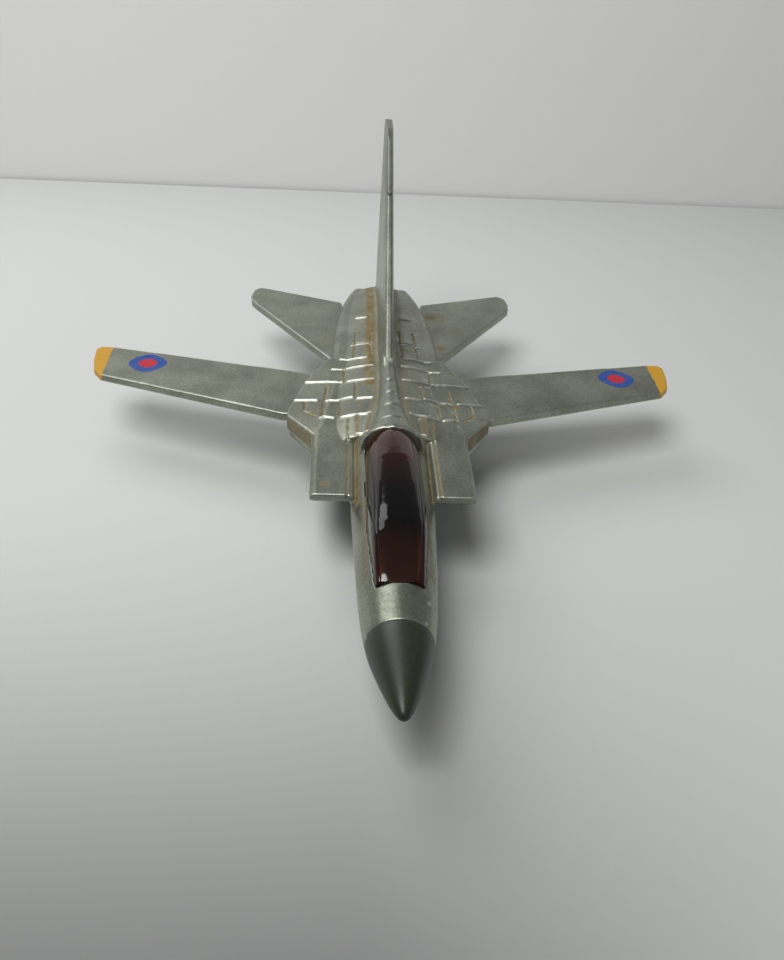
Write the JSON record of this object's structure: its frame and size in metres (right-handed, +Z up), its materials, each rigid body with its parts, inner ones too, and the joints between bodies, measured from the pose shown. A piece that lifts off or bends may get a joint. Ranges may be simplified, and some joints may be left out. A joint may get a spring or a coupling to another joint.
{
  "type": "toy airplane",
  "caption": "Pocket die-cast swing-wing jet with smoked canopy, tall single fin, side intakes, wings that sweep back and free-rolling wheels.",
  "frame": {"origin": "on the ground, under the centre of the bounding box", "axes": "+Z up, -Y towards the nose, +Y towards the tail, +X towards the pilot's left wing"},
  "size_m": [0.0974, 0.111, 0.0457],
  "materials": {
    "silver_casting": "satin metallic silver paint, worn",
    "silver_wing": "satin metallic silver paint, painted tips",
    "olive_moulding": "satin olive",
    "smoked_clear": "smoked clear moulding",
    "dark_moulding": "satin black",
    "steel": "bright drawn wire",
    "rivet_metal": "bare, peened",
    "silver_leg": "grey moulding",
    "wheel_plastic": "black moulding"
  },
  "bodies": {
    "airframe": {"upper_body": "silver_casting", "lower_body": "silver_casting", "nose_cone": "olive_moulding", "canopy": "smoked_clear", "tailplane_left": "silver_wing", "tailplane_right": "silver_wing", "exhaust_insert": "dark_moulding", "pivot_pins": "steel", "body_rivets": "rivet_metal", "nose_leg": "silver_leg", "nose_axle": "steel", "main_leg_left": "silver_leg", "main_leg_right": "silver_leg", "main_axle": "steel"},
    "wing_left": {"wing_left": "silver_wing"},
    "wing_right": {"wing_right": "silver_wing"},
    "nose_wheel_left": {"nose_wheel_left": "wheel_plastic"},
    "nose_wheel_right": {"nose_wheel_right": "wheel_plastic"},
    "main_wheel_left": {"main_wheel_left": "wheel_plastic"},
    "main_wheel_right": {"main_wheel_right": "wheel_plastic"}
  },
  "joints": [
    {"name": "wing_left_sweep", "type": "hinge", "parent": "airframe", "child": "wing_left", "pos_m": [0.011, 0.0075, 0.0125], "axis": [0, 0, 1], "range_deg": [0, 42]},
    {"name": "wing_right_sweep", "type": "hinge", "parent": "airframe", "child": "wing_right", "pos_m": [-0.011, 0.0075, 0.0125], "axis": [0, 0, -1], "range_deg": [0, 42]},
    {"name": "nose_wheel_left_spin", "type": "hinge", "parent": "airframe", "child": "nose_wheel_left", "pos_m": [0.00155, -0.029, 0.002], "axis": [1, 0, 0], "continuous": true},
    {"name": "nose_wheel_right_spin", "type": "hinge", "parent": "airframe", "child": "nose_wheel_right", "pos_m": [-0.00155, -0.029, 0.002], "axis": [1, 0, 0], "continuous": true},
    {"name": "main_wheel_left_spin", "type": "hinge", "parent": "airframe", "child": "main_wheel_left", "pos_m": [0.00905, 0.015, 0.0029], "axis": [1, 0, 0], "continuous": true},
    {"name": "main_wheel_right_spin", "type": "hinge", "parent": "airframe", "child": "main_wheel_right", "pos_m": [-0.00905, 0.015, 0.0029], "axis": [1, 0, 0], "continuous": true}
  ]
}
